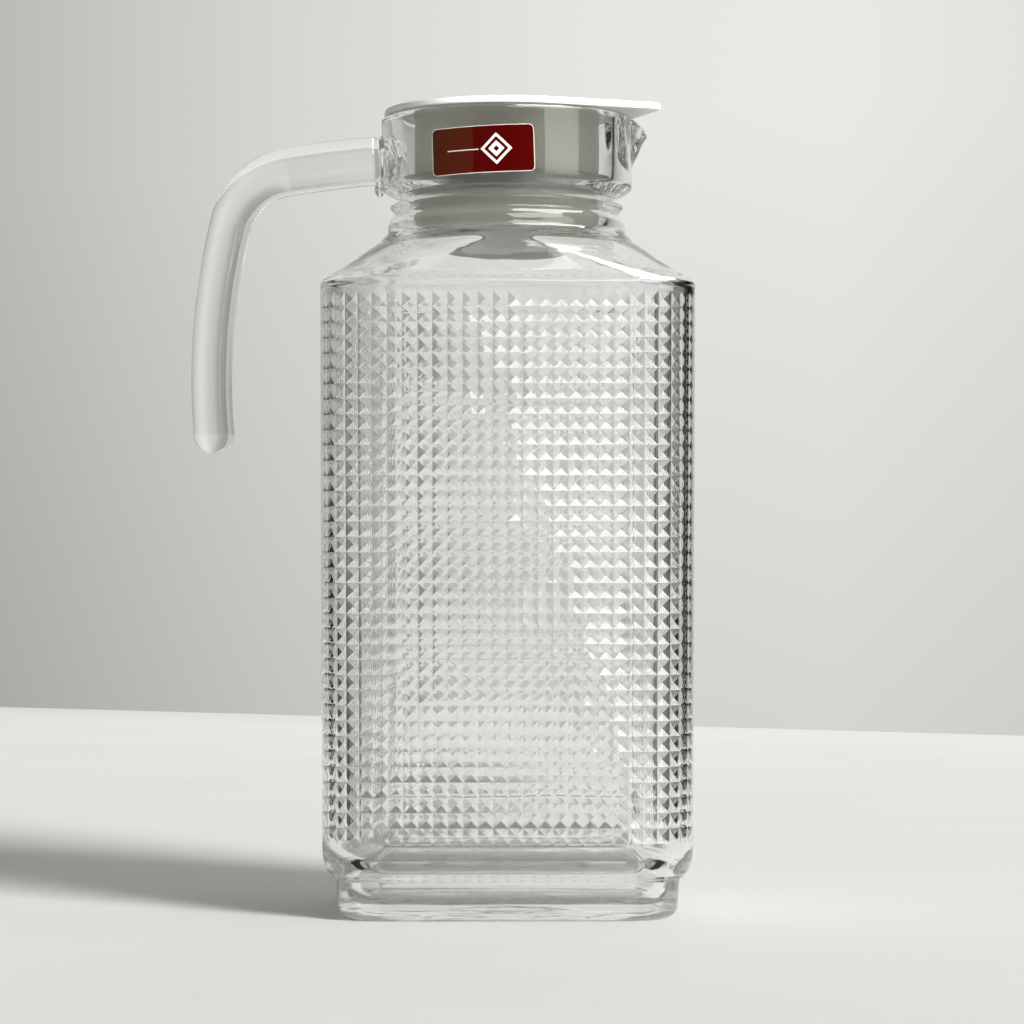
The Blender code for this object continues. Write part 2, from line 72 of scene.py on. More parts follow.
# under the ledge: out of the foot, added to the corner, below the ledge
FOOT_FLARE = ((0.0005, 0.0002, 0.0012), (0.0009, 0.0004, 0.0003), (0.0018, 0.0012, 0.0))
HEEL = 0.0030                # how far the heel pulls in over the foot
WALL_FOOT_Z = 0.0268
WALL_TOP_Z = 0.1852
CORNER = 0.0155
SHOULDER_EDGE = 0.0030       # rounding between the wall and the shoulder
SHOULDER_TOP = (0.0392, 0.2014)    # radius and height
LEAN = 0.0006                # how much narrower the walls are at the bottom
HEEL_HALF = HALF - LEAN
FOOT_HALF = HEEL_HALF - 0.0046
WALL = 0.0040
INNER_CORNER = 0.0185
INNER_FILLET = 0.0040        # between the wall and the shoulder
INNER_TOP_Z = 0.1860         # where the wall and the shoulder would meet inside
FLOOR_CORNER = 0.0080
FLOOR_Z = 0.0052
# how far in from the floor's widest, and height, down the last bend of the inside
FLOOR_BEND = ((0.0, 0.0120), (0.0004, 0.0092), (0.0016, 0.0068), (0.0044, 0.0053), (0.0080, FLOOR_Z))
FLOOR_RISE = 0.0034          # of the floor's middle
KICK_UP = 0.0048             # rise of the domed base
DOME_POWER = 0.8             # below 1, the domes are flatter on top
DOME_STEPS = 8
DOME_MIDDLE = 0.02           # size of the smallest ring, of the largest
COLLAR_RADIUS = 0.0380
COLLAR_BORE = 0.0320
COLLAR_FOOT_Z = 0.2190
COLLAR_STEPS = 16
NECK_BORE = 0.0303
NECK_EASE = 0.0010           # widening of the bore under the neck
RIM_EDGE = 0.0012            # rounding of the rim
# radius and height, from the shoulder over the two rings of the neck to under the collar
NECK_LINE = (SHOULDER_TOP, (0.0371, 0.2034), (0.0361, 0.2047), (0.0359, 0.2067), (0.0351, 0.2088),
             (0.0340, 0.2100), (0.0344, 0.2113), (0.0354, 0.2126), (0.0342, 0.2134),
             (0.0328, 0.2142), (0.0330, 0.2151), (0.0342, 0.2158), (0.0362, 0.2168),
             (0.0378, 0.2180))

# ---- beak ----
# height, and how far the beak stands out from the collar there
BEAK_LINE = ((0.2250, 0.0), (0.2291, 0.0021), (0.2334, 0.0036), (0.2358, 0.0047),
             (0.2371, 0.0044), (0.2395, 0.0036))
BEAK_SPREAD = 0.30           # half the beak's width, in radians round the collar
BEAK_POWER = 1.3             # above 1, the beak is narrower towards its tip
CHANNEL_SPREAD = 0.25
CHANNEL_REACH = 0.0074
CHANNEL_FROM = (0.2265, 0.0125)    # height where the pouring channel starts, and its rise
LIP_SPREAD = 0.26
LIP_DROP = 0.0026
LIP_FROM = (0.2300, 0.0095)

# ---- dimples ----
FLAT_COLUMNS = 18            # on the flat of a side
CORNER_COLUMNS = 6
SIDE_COLUMNS = FLAT_COLUMNS + CORNER_COLUMNS
COLUMNS = 4 * SIDE_COLUMNS
ROWS = 36
DIMPLE_TOP_Z = 0.1829
DIMPLE_FOOT_Z = 0.0231
DIMPLE_DEPTH = 0.00065
SIDE_SHARE = 0.2             # depth of the dimples on the handle and beak sides, of the others
SUBSTEPS = 4                 # points along a dimple's edge
RING_POINTS = COLUMNS * SUBSTEPS

# ---- handle, from the axis ----
HANDLE_START = (-0.0350, 0.2272)
ARM_DEPTH = 0.0140
GRIP_DEPTH = 0.0122
HANDLE_WIDTH = 0.0170
ARM_LENGTH = 0.0316
BEND_RADIUS = 0.0217
GRIP_LENGTH = 0.0641
ARM_HEADINGS = (3.5, 9.6)    # degrees below -X, at the start and the end
GRIP_HEADINGS = (76.3, 94.8)
HANDLE_POINTS = 48
HANDLE_STEPS = 48            # stations to each run of the rod
HANDLE_CORNER = 0.72         # rounding of its section, of half its depth
TIP_STEPS = 12
CREASE = (0.0005, 0.0008, 0.10)    # at the root: distance out of the collar, length, depth share
DROP_PLACE = (-0.0385, 0.0, 0.2183)
DROP_SIZE = (0.0016, 0.0040, 0.0024)

# ---- lid ----
LID_RADIUS = 0.0371
LID_GAP = 0.0004             # under the plate, over the rim
LID_EDGE = 0.0007
LID_PANEL = (0.0016, 0.0022, 0.00025)    # border of the sunk top: start, end, depth
TAB_REACH = 0.0500
TAB_RADIUS = 0.0036
TAB_TURN = -24.5             # degrees from the beak
SKIRT_RADIUS = 0.0280
SKIRT_WALL = 0.0015
SKIRT_FOOT_Z = 0.2035
SKIRT_TOP_Z = RIM_Z + 0.0012
LINING_HALF = 0.0002         # half the thickness of the white lining in the skirt
SEAL_GAP = 0.00024           # round the skirt

# ---- label ----
LABEL_RADIUS = 0.03808
LABEL_TURN = -11.8           # degrees from the front, towards the handle
LABEL_TILT = 2.0
LABEL_Z = 0.2260
LABEL_HALF_WIDTH = 0.0158
LABEL_HALF_HEIGHT = 0.0070
LABEL_CORNER = 0.0016
BORDER = (0.00003, 0.00022)  # start and end of the pale border, in from the edge
PRINT_LIFT = 0.00008
DIAMOND_ACROSS = 0.0045
OUTER_DIAMOND = (0.0047, 0.0036)
INNER_DIAMOND = (0.0024, 0.0009)
LINE_ENDS = (-0.0105, -0.0008)
LINE_HALF = 0.00015

# ---- camera ----
CAMERA_DISTANCE = 1.103
CAMERA_Z = 0.0936
CAMERA_TURN = 0.47           # degrees round the jug, towards the handle
CAMERA_LENS = 127.6
CAMERA_SHIFT = (0.0052, 0.0859)

# ---- room ----
LOOK_AT = Vector((AXIS_X, 0, 0.1))
WALL_LEFT = Vector((AXIS_X - 0.452, 2.10, 0))
WALL_RIGHT = Vector((AXIS_X + 0.355, 1.41, 0))
WALL_REACH = 3.0             # to each side of its middle
WALL_HEIGHT = 2.6
# place along X and display grey there, all painted light of the glowing wall: darker to the left, and
# a painted near-black band from 1.08 to 1.36, beyond the right of the view, seen only in the glass
WALL_PAINTED_GREYS = ((-1.60, 150), (-0.90, 160), (-0.50, 171), (-0.35, 186), (-0.15, 206), (0.10, 222),
               (0.27, 225), (0.42, 217), (0.75, 195), (1.00, 160), (1.08, 6), (1.36, 6), (1.46, 120))
WALL_PAINTED_GLOW = (0.88, 1.08)      # strength of the wall's painted glow, brighter higher up: at the floor and at the height given next
WALL_PAINTED_GLOW_Z = 0.45
FLOOR_HALF = 4.0
# share of the half turn from +Y round to -Y, and display grey there, near the horizon and higher up
LOW_ROOM = ((0.0, 200), (0.20, 190), (0.28, 160), (0.305, 5), (0.385, 3), (0.41, 110),
            (0.60, 110), (1.0, 20))
HIGH_ROOM = ((0.0, 205), (0.28, 190), (0.38, 150), (0.47, 110), (0.62, 100), (1.0, 40))
CEILING_GREY = 205
PLAIN_GREY = 200             # outside the glass, and after too many passes through it
PLAIN_PASSES = 7.5
WORLD_LIGHT = 0.30           # share of the world's light that falls on surfaces
OLIVE_TURNS = (-149, -109)   # degrees from +Y towards +X
OLIVE_HEIGHTS = (-2.9, 40)   # degrees up
OLIVE = (0.30, 0.36, 0.15)
PALE_TURNS = (112, 146)
PALE_HEIGHTS = (-2.0, 30)
PALE = (3.2, 3.2, 3.0)
PANEL_DISTANCE = 2.4
PANEL_BASE_Z = 0.13
CEILING_Z = 1.8
CEILING_FROM = 4.5           # degrees right of straight up, seen from the shoulder
CEILING_LIGHT = 13.0
WINDOW_TURN = 149
WINDOW_UP = 33
WINDOW_HALF = (1.15, 0.6)
WINDOW_ACROSS = 57           # degrees from +Y towards +X along the window
WINDOW_LIGHT = 7.0
SUN_TURN = 139
SUN_UP = 14
SUN_LIGHT = 7.6
SUN_WIDTH = 22
LAMP_COLOUR = (1.0, 0.995, 0.98)
LAMP_DISTANCE = 2.5
TOP_LIGHT_PLACE = (AXIS_X + 0.85, 0.0, 1.6)
TOP_LIGHT_SIZE = (1.2, 2.0)
TOP_LIGHT_POWER = 2


# ---------------------------------------------------------------- meshes

def add_piece(name, mesh):
    """A new object in the scene."""
    piece = bpy.data.objects.new(name, mesh)
    bpy.context.scene.collection.objects.link(piece)
    return piece


def mesh_of(name, points, faces):
    """A mesh from points and faces."""
    mesh = bpy.data.meshes.new(name)
    mesh.from_pydata([tuple(point) for point in points], [], faces)
    mesh.validate()
    mesh.update()
    return mesh


def tidy_normals(mesh):
    """Turn all faces of a closed mesh outward."""
    shape = bmesh.new()
    shape.from_mesh(mesh)
    bmesh.ops.recalc_face_normals(shape, faces=shape.faces)
    shape.to_mesh(mesh)
    shape.free()
    return mesh


def band_faces(low, high, count):
    """Quads between two rings, given by the numbers of their first points, facing outward."""
    faces = []
    for step in range(count):
        after = (step + 1) % count
        faces.append((low + step, low + after, high + after, high + step))
    return faces


def stacked(name, rings):
    """A closed, smooth mesh through rings of equal length, capped at both ends."""
    count = len(rings[0])
    points = [point for one in rings for point in one]
    faces = [tuple(reversed(range(count)))]
    for row in range(len(rings) - 1):
        faces.extend(band_faces(row * count, (row + 1) * count, count))
    last = (len(rings) - 1) * count
    faces.append(tuple(range(last, last + count)))
    mesh = tidy_normals(mesh_of(name, points, faces))
    mesh.shade_smooth()
    return mesh


def turned(name, profile, count=128):
    """A closed ring around the axis from a closed outline of (radius, z)."""
    points = []
    for step in range(count):
        angle = step / count * 2 * math.pi
        for radius, z in profile:
            points.append((radius * math.cos(angle), radius * math.sin(angle), z))
    size = len(profile)
    faces = []
    for step in range(count):
        here = step * size
        after = (step + 1) % count * size
        for index in range(size):
            follow = (index + 1) % size
            faces.append((here + index, here + follow, after + follow, after + index))
    mesh = tidy_normals(mesh_of(name, points, faces))
    mesh.shade_smooth()
    return mesh


def arc_levels(centre, radius, start, end, steps):
    """Points (out, z) of an arc between two angles in degrees, both ends included."""
    points = []
    for step in range(steps + 1):
        angle = math.radians(start + (end - start) * step / steps)
        points.append((centre[0] + radius * math.cos(angle), centre[1] + radius * math.sin(angle)))
    return points


def straight(start, end, steps):
    """Levels spaced evenly from start to end, without the start."""
    levels = []
    for step in range(1, steps + 1):
        share = step / steps
        levels.append(tuple(a + (b - a) * share for a, b in zip(start, end)))
    return levels


def ease(value):
    """Smooth step from 0 to 1."""
    value = min(max(value, 0.0), 1.0)
    return value * value * (3 - 2 * value)


def curve_through(stations, steps):
    """A smooth curve through stations, tuples of any length, with steps points to a span."""
    stations = [np.array(station) for station in stations]
    result = []
    last = len(stations) - 1
    for index in range(last):
        before = stations[max(index - 1, 0)]
        start = stations[index]
        end = stations[index + 1]
        after = stations[min(index + 2, last)]
        for step in range(steps):
            t = step / steps
            lead = (end - before) / 2
            tail = (after - start) / 2
            weight = t * t * (3 - 2 * t)
            bend = lead * (t ** 3 - 2 * t * t + t) + tail * (t ** 3 - t * t)
            result.append(start * (1 - weight) + end * weight + bend)
    result.append(stations[-1])
    return [tuple(point) for point in result]


# ---------------------------------------------------------------- glass body

def square_point(half, corner, share):
    """Point on a round-cornered square, at a share of its outline, from the middle of the +X side."""
    flat = half - corner
    bend = corner * math.pi / 2
    quarter = 2 * flat + bend
    side = math.floor(share * 4 + 0.5)
    along = (share * 4 - side) * quarter
    spot = abs(along)
    if spot <= flat:
        x = half
        y = spot
    else:
        angle = (spot - flat) / corner
        x = flat + corner * math.cos(angle)
        y = flat + corner * math.sin(angle)
    y = math.copysign(y, along)
    turn = side * math.pi / 2
    return x * math.cos(turn) - y * math.sin(turn), x * math.sin(turn) + y * math.cos(turn)


def outline_share(column):
    """Share of the outline at a column of dimples, wide on the flats and narrow on the corners."""
    side = math.floor(column / SIDE_COLUMNS + 0.5)
    along = column - side * SIDE_COLUMNS
    reach = abs(along)
    flat = HALF - CORNER
    bend = CORNER * math.pi / 2
    if reach <= FLAT_COLUMNS / 2:
        length = flat * reach / (FLAT_COLUMNS / 2)
    else:
        length = flat + bend * (reach - FLAT_COLUMNS / 2) / CORNER_COLUMNS
    return (side + math.copysign(length, along) / (2 * flat + bend)) / 4


SHARES = [outline_share(step / SUBSTEPS) for step in range(RING_POINTS)]


def ring(half, corner, z):
    """Points around a level, as an array."""
    return np.array([(*square_point(half, corner, share), z) for share in SHARES])


def dimple_share(column):
    """Depth of a column of dimples: shallow on the handle and beak sides."""
    side = math.floor((column + 0.5) / SIDE_COLUMNS + 0.5)
    return SIDE_SHARE if side % 2 == 0 else 1.0


def wall_half(z):
    """Half the width across the dimpled walls at a height."""
    return HALF - LEAN * (WALL_TOP_Z - z) / (WALL_TOP_Z - WALL_FOOT_Z)


class Skin:
    """The points and faces of the glass, laid down ring by ring."""

    def __init__(self):
        self.points = []
        self.faces = []
        self.facets = []
        self.last = None

    def put(self, points):
        """Add points and give the number of the first."""
        start = len(self.points)
        self.points.extend(points)
        return start

    def lay(self, points):
        """Add a ring and join it to the one before."""
        start = self.put(points)
        if self.last is not None:
            self.faces.extend(band_faces(self.last, start, RING_POINTS))
        self.last = start

    def facet(self, *corners):
        """Add a flat-shaded face."""
        self.facets.append(len(self.faces))
        self.faces.append(corners)

    def dimple_row(self, low_z, high_z):
        """Add a row of dimples above the last ring."""
        low = self.last
        high = self.put(ring(wall_half(high_z), CORNER, high_z))
        middle = (low_z + high_z) / 2
        centres = []
        for column in range(COLUMNS):
            depth = DIMPLE_DEPTH * dimple_share(column)
            share = outline_share(column + 0.5)
            place = square_point(wall_half(middle) - depth, CORNER - depth, share)
            centres.append((*place, middle))
        pits = self.put(centres)
        for column in range(COLUMNS):
            pit = pits + column
            first = column * SUBSTEPS
            right = (first + SUBSTEPS) % RING_POINTS
            for step in range(first, first + SUBSTEPS):
                after = (step + 1) % RING_POINTS
                self.facet(low + step, low + after, pit)
                self.facet(high + after, high + step, pit)
            self.facet(low + right, high + right, pit)
            self.facet(high + first, low + first, pit)
        self.last = high


def dome_levels(wide, corner, flat, base_z, rise):
    """Levels (half, corner, z) of a dome, from near its middle out to its edge."""
    levels = []
    for step in range(DOME_STEPS + 1):
        share = DOME_MIDDLE + (1 - DOME_MIDDLE) * step / DOME_STEPS
        half = wide * share
        bend = half - (half - min(corner, half)) * ease((share - flat) / (1 - flat))
        levels.append((half, bend, base_z + rise * math.cos(share * math.pi / 2) ** DOME_POWER))
    return levels


def outer_low_levels():
    """Outside levels (half, corner, z) from the middle of the base up to the dimples."""
    ring_out = FOOT_HALF - FOOT_EDGE
    levels = dome_levels(ring_out - FOOT_RING, FOOT_CORNER, 0.7, 0.0, KICK_UP)
    for out, z in arc_levels((ring_out, FOOT_EDGE), FOOT_EDGE, -90, -6, 6):
        levels.append((out, FOOT_CORNER, z))
    for out, corner, down in FOOT_FLARE:
        levels.append((FOOT_HALF + out, FOOT_CORNER + corner, FOOT_Z - down))
    rise = WALL_FOOT_Z - 0.0050 - FOOT_Z
    for step in range(11):
        angle = math.radians(step * 9)
        back = HEEL * (1 - math.sin(angle))
        height = FOOT_Z + 0.0005 + rise * (1 - math.cos(angle))
        levels.append((HEEL_HALF - back, CORNER - back, height))
    return levels


def outer_high_levels():
    """Outside levels from above the dimples to the collar's lower edge."""
    levels = [(HALF, CORNER, WALL_TOP_Z)]
    for out, z in arc_levels((HALF - SHOULDER_EDGE, WALL_TOP_Z), SHOULDER_EDGE, 9, 45, 4):
        levels.append((out, CORNER, z))
    levels += straight(levels[-1], (SHOULDER_TOP[0], *SHOULDER_TOP), 8)
    for radius, z in curve_through(NECK_LINE, 3)[1:]:
        levels.append((radius, radius, z))
    return levels


def collar_heights():
    """Heights of the levels on the collar, closer together towards the rim."""
    rise = RIM_Z - RIM_EDGE - COLLAR_FOOT_Z
    steps = range(COLLAR_STEPS + 1)
    return [COLLAR_FOOT_Z + rise * (step / COLLAR_STEPS) ** 0.9 for step in steps]


def beak_out(z):
    """How far the beak stands out from the collar at a height."""
    heights, reaches = zip(*BEAK_LINE)
    return float(np.interp(z, heights, reaches))


def beak_width(angle, spread):
    """The beak's share of its full reach at an angle from +X."""
    return (0.5 + 0.5 * math.cos(math.pi * min(abs(angle) / spread, 1.0))) ** BEAK_POWER


def shape_collar(points, outer):
    """Push the points of a collar level out into the beak, or into its pouring channel."""
    shaped = points.copy()
    for index, (x, y, z) in enumerate(points):
        angle = math.atan2(y, x)
        if outer:
            push = beak_out(z) * beak_width(angle, BEAK_SPREAD)
        else:
            depth = CHANNEL_REACH * ease((z - CHANNEL_FROM[0]) / CHANNEL_FROM[1])
            push = depth * beak_width(angle, CHANNEL_SPREAD)
        drop = LIP_DROP * ease((z - LIP_FROM[0]) / LIP_FROM[1]) * beak_width(angle, LIP_SPREAD)
        radius = math.hypot(x, y)
        scale = (radius + push) / radius
        shaped[index] = (x * scale, y * scale, z - drop)
    return shaped


def round_levels(skin, levels, outer):
    """Lay collar levels (radius, z), shaped into the beak."""
    for radius, z in levels:
        skin.lay(shape_collar(ring(radius, radius, z), outer))


def inner_levels():
    """Inside levels from the collar's bore down to the middle of the floor."""
    levels = [(COLLAR_BORE, COLLAR_BORE, 0.2181), (NECK_BORE + 0.0008, NECK_BORE + 0.0008, 0.2179)]
    for z in (0.2173, 0.2100, 0.2055):
        levels.append((NECK_BORE, NECK_BORE, z))
    inside = HALF - WALL
    middle_z = INNER_TOP_Z - INNER_FILLET * math.tan(math.radians(22.5))
    fillet = arc_levels((inside - INNER_FILLET, middle_z), INNER_FILLET, 45, 0, 8)
    bore = (NECK_BORE + NECK_EASE, NECK_BORE + NECK_EASE, 0.2028)
    levels.append(bore)
    levels += straight(bore, (fillet[0][0], INNER_CORNER, fillet[0][1]), 9)
    for out, z in fillet[1:]:
        levels.append((out, INNER_CORNER, z))
    foot_half = HEEL_HALF - WALL
    levels.append((foot_half, INNER_CORNER, WALL_FOOT_Z))
    floor_half = FOOT_HALF - 0.0054
    bends = [(foot_half, INNER_CORNER, WALL_FOOT_Z)]
    bends.append((foot_half - 0.0008, INNER_CORNER - 0.0030, 0.0205))
    bends.append((floor_half + 0.0012, FLOOR_CORNER + 0.0020, 0.0155))
    for back, z in FLOOR_BEND:
        bends.append((floor_half - back, FLOOR_CORNER, z))
    levels += curve_through(bends, 4)[1:]
    floor = dome_levels(levels[-1][0], FLOOR_CORNER, 0.6, FLOOR_Z, FLOOR_RISE)
    levels += list(reversed(floor))[1:]
    return levels


def glass_skin():
    """The body as one closed skin: up the outside, over the rim and down the inside."""
    skin = Skin()
    for half, corner, z in outer_low_levels():
        skin.lay(ring(half, corner, z))
    pitch = (DIMPLE_TOP_Z - DIMPLE_FOOT_Z) / ROWS
    skin.lay(ring(wall_half(DIMPLE_FOOT_Z), CORNER, DIMPLE_FOOT_Z))
    for row in range(ROWS):
        low_z = DIMPLE_FOOT_Z + row * pitch
        skin.dimple_row(low_z, low_z + pitch)
    for half, corner, z in outer_high_levels():
        skin.lay(ring(half, corner, z))
    round_levels(skin, [(COLLAR_RADIUS, z) for z in collar_heights()], True)
    edge_z = RIM_Z - RIM_EDGE
    outer_edge = arc_levels((COLLAR_RADIUS - RIM_EDGE, edge_z), RIM_EDGE, 15, 90, 5)
    inner_edge = arc_levels((COLLAR_BORE + RIM_EDGE, edge_z), RIM_EDGE, 90, 180, 6)
    round_levels(skin, outer_edge, True)
    round_levels(skin, inner_edge, False)
    round_levels(skin, [(COLLAR_BORE, z) for z in reversed(collar_heights()[:-1])], False)
    for half, corner, z in inner_levels():
        skin.lay(ring(half, corner, z))
    first_ring = tuple(reversed(range(RING_POINTS)))
    last_ring = tuple(range(skin.last, skin.last + RING_POINTS))
    mesh = mesh_of("jug_glass", skin.points, skin.faces + [first_ring, last_ring])
    mesh.shade_smooth()
    smooth = np.ones(len(mesh.polygons), dtype=bool)
    smooth[skin.facets] = False
    mesh.polygons.foreach_set("use_smooth", smooth)
    return mesh


# ---------------------------------------------------------------- handle

def handle_stations():
    """Stations (x, z, heading, half depth) down the middle of the rod."""
    x, z = HANDLE_START
    bend = BEND_RADIUS * math.radians(GRIP_HEADINGS[0] - ARM_HEADINGS[1])
    runs = ((ARM_LENGTH, ARM_HEADINGS, (ARM_DEPTH, ARM_DEPTH)),
            (bend, (ARM_HEADINGS[1], GRIP_HEADINGS[0]), (ARM_DEPTH, GRIP_DEPTH)),
            (GRIP_LENGTH, GRIP_HEADINGS, (GRIP_DEPTH, GRIP_DEPTH)))
    stations = [(x, z, math.radians(ARM_HEADINGS[0]), ARM_DEPTH / 2)]
    for length, headings, depths in runs:
        turn = headings[1] - headings[0]
        for step in range(HANDLE_STEPS):
            middle = math.radians(headings[0] + turn * (step + 0.5) / HANDLE_STEPS)
            x -= math.cos(middle) * length / HANDLE_STEPS
            z -= math.sin(middle) * length / HANDLE_STEPS
            share = (step + 1) / HANDLE_STEPS
            heading = math.radians(headings[0] + turn * share)
            stations.append((x, z, heading, (depths[0] + (depths[1] - depths[0]) * share) / 2))
    return stations


def rounded_box_point(half_x, half_y, corner, share):
    """Point on a round-cornered rectangle, evenly by angle."""
    angle = share * 2 * math.pi
    x = math.copysign(half_x - corner, math.cos(angle)) + corner * math.cos(angle)
    y = math.copysign(half_y - corner, math.sin(angle)) + corner * math.sin(angle)
    return x, y


def handle_ring(x, z, heading, deep, wide):
    """Section of the rod, a rounded rectangle across its heading."""
    points = []
    corner = min(HANDLE_CORNER * ARM_DEPTH / 2, deep * 0.9, wide * 0.9)
    for step in range(HANDLE_POINTS):
        across, side = rounded_box_point(deep, wide, corner, step / HANDLE_POINTS)
        points.append((x - math.sin(heading) * across, side, z + math.cos(heading) * across))
    return points


def handle_mesh():
    """Solid rod with a crease where it meets the collar and a round tip."""
    rings = []
    place, reach, share = CREASE
    for x, z, heading, deep in handle_stations():
        crease = math.exp(-((x + COLLAR_RADIUS + place) / reach) ** 2)
        deep = deep * (1 - share * crease)
        wide = HANDLE_WIDTH * deep / ARM_DEPTH
        rings.append(handle_ring(x, z, heading, deep, wide))
    for step in range(1, TIP_STEPS + 1):
        angle = math.radians(88.5 * step / TIP_STEPS)
        along = deep * math.sin(angle)
        tip_x = x - along * math.cos(heading)
        tip_z = z - along * math.sin(heading)
        narrow = math.cos(angle)
        rings.append(handle_ring(tip_x, tip_z, heading, deep * narrow, wide * narrow))
    return stacked("handle_rod", rings)


def drop_mesh(name, place, size):
    """A small egg-shaped blob of glass."""
    shape = bmesh.new()
    bmesh.ops.create_uvsphere(shape, u_segments=24, v_segments=16, radius=1.0)
    mesh = bpy.data.meshes.new(name)
    shape.to_mesh(mesh)
    shape.free()
    mesh.transform(Matrix.Translation(place) @ Matrix.Diagonal((*size, 1)))
    mesh.shade_smooth()
    return mesh


# ---------------------------------------------------------------- lid and label

def tab_ring(inset, z):
    """Outline of the lid's top plate, in from its edge, with the tab along +X."""
    reach = TAB_REACH - TAB_RADIUS
    half_angle = math.degrees(math.acos((LID_RADIUS - TAB_RADIUS) / reach))
    points = []
    for step in range(25):
        angle = math.radians(-half_angle + 2 * half_angle * step / 24)
        radius = TAB_RADIUS - inset
        points.append((reach + radius * math.cos(angle), radius * math.sin(angle), z))
    for step in range(97):
        angle = math.radians(half_angle + (360 - 2 * half_angle) * step / 96)
        radius = LID_RADIUS - inset
        points.append((radius * math.cos(angle), radius * math.sin(angle), z))
    return points


def lid_plate():
    """The lid's flat top with its pointed tab."""
    low = RIM_Z + LID_GAP
    high = LID_TOP_Z
    border, sunk, depth = LID_PANEL
    levels = [(0.0030, low)]
    for step in range(5):
        angle = math.radians(22.5 * step)
        levels.append((LID_EDGE * (1 - math.sin(angle)), low + LID_EDGE * (1 - math.cos(angle))))
    for step in range(5):
        angle = math.radians(22.5 * step)
        levels.append((LID_EDGE * (1 - math.cos(angle)), high - LID_EDGE * (1 - math.sin(angle))))
    levels += [(border, high), (sunk, high - depth), (0.0030, high - depth)]
    plate = stacked("plate", [tab_ring(inset, z) for inset, z in levels])
    plate.transform(Matrix.Rotation(math.radians(TAB_TURN), 4, 'Z'))
    return joined("lid_plate", [plate, skirt_lining(low)])


def skirt_lining(top):
    """A thin white lining inside the skirt, which is moulded in one with the plate."""
    out = SKIRT_RADIUS - SKIRT_WALL + LINING_HALF
    back = SKIRT_RADIUS - SKIRT_WALL - LINING_HALF
    outline = [(out, top), (out, SKIRT_FOOT_Z + 0.0012), (back, SKIRT_FOOT_Z + 0.0014), (back, top)]
    return turned("lining", outline)


def lid_skirt():
    """The deep ring under the lid, flared at the top and rounded at its lower edge."""
    inside = SKIRT_RADIUS - SKIRT_WALL
    top = SKIRT_TOP_Z
    edge = SKIRT_WALL / 2
    outline = [(SKIRT_RADIUS + 0.0006, top), (SKIRT_RADIUS + 0.0003, top - 0.0012)]
    outline += [(SKIRT_RADIUS, top - 0.0022), (SKIRT_RADIUS, top - 0.0080)]
    outline.append((SKIRT_RADIUS, SEAL_LOW.z - 0.0006))
    outline += arc_levels((SKIRT_RADIUS - edge, SKIRT_FOOT_Z + edge), edge, 0, -180, 8)
    outline += [(inside, SKIRT_FOOT_Z + 0.0040), (inside, top - 0.0080), (inside, top)]
    return turned("lid_skirt", outline)


def seal_ring():
    """The soft ring round the skirt, with two lips."""
    low = SEAL_LOW.z
    high = SEAL_HIGH.z
    outer = (SEAL_HIGH.x - SEAL_LOW.x) / 2
    inner = SKIRT_RADIUS + SEAL_GAP
    middle = (low + high) / 2
    outline = [(inner, low), (outer - 0.0008, low), (outer - 0.0002, low + 0.0002)]
    outline += [(outer, low + 0.0007), (outer - 0.0003, middle), (outer, high - 0.0007)]
    outline += [(outer - 0.0002, high - 0.0002), (outer - 0.0008, high), (inner, high)]
    return turned("seal_ring", outline)


def label_point(across, up, lift):
    """Wrap a point of the flat label onto the collar."""
    tilt = math.radians(LABEL_TILT)
    out = across * math.cos(tilt) - up * math.sin(tilt)
    rise = across * math.sin(tilt) + up * math.cos(tilt)
    radius = LABEL_RADIUS + lift
    angle = math.radians(LABEL_TURN) + out / LABEL_RADIUS
    return radius * math.sin(angle), -radius * math.cos(angle), LABEL_Z + rise


def loop_points(corners, steps):
    """Points along a closed loop of corners."""
    points = []
    for start, end in zip(corners, corners[1:] + corners[:1]):
        points += [start] + straight(start, end, steps)[:-1]
    return points


def label_loop(inset):
    """Round-cornered outline of the label, in from its edge."""
    corner = LABEL_CORNER - inset
    wide = LABEL_HALF_WIDTH - LABEL_CORNER
    high = LABEL_HALF_HEIGHT - LABEL_CORNER
    bends = []
    centres = ((wide, high), (-wide, high), (-wide, -high), (wide, -high))
    for number, centre in enumerate(centres):
        bends += arc_levels(centre, corner, 90 * number, 90 * number + 90, 6)
    return loop_points(bends, 8)


def diamond_loop(half):
    """Outline of a diamond."""
    middle = DIAMOND_ACROSS
    corners = [(middle + half, 0.0), (middle, half), (middle - half, 0.0), (middle, -half)]
    return loop_points(corners, 6)


def ribbon(name, outside, inside):
    """A thin flat band on the label between two loops of equal length."""
    count = len(outside)
    points = [label_point(x, y, PRINT_LIFT) for x, y in outside + inside]
    faces = []
    for step in range(count):
        after = (step + 1) % count
        faces.append((step, after, count + after, count + step))
    return mesh_of(name, points, faces)


def label_sheet():
    """The label's film."""
    steps = 48
    points = []
    for step in range(steps + 1):
        across = LABEL_HALF_WIDTH * (2 * step / steps - 1)
        beyond = max(abs(across) - (LABEL_HALF_WIDTH - LABEL_CORNER), 0.0)
        bend = math.sqrt(max(LABEL_CORNER ** 2 - beyond ** 2, 0.0))
        reach = LABEL_HALF_HEIGHT - LABEL_CORNER + bend
        for level in (-1, 0, 1):
            points.append(label_point(across, reach * level, 0.0))
    faces = []
    for step in range(steps):
        for level in (0, 1):
            here = step * 3 + level
            faces.append((here, here + 3, here + 4, here + 1))
    mesh = mesh_of("label_film", points, faces)
    mesh.shade_smooth()
    return mesh


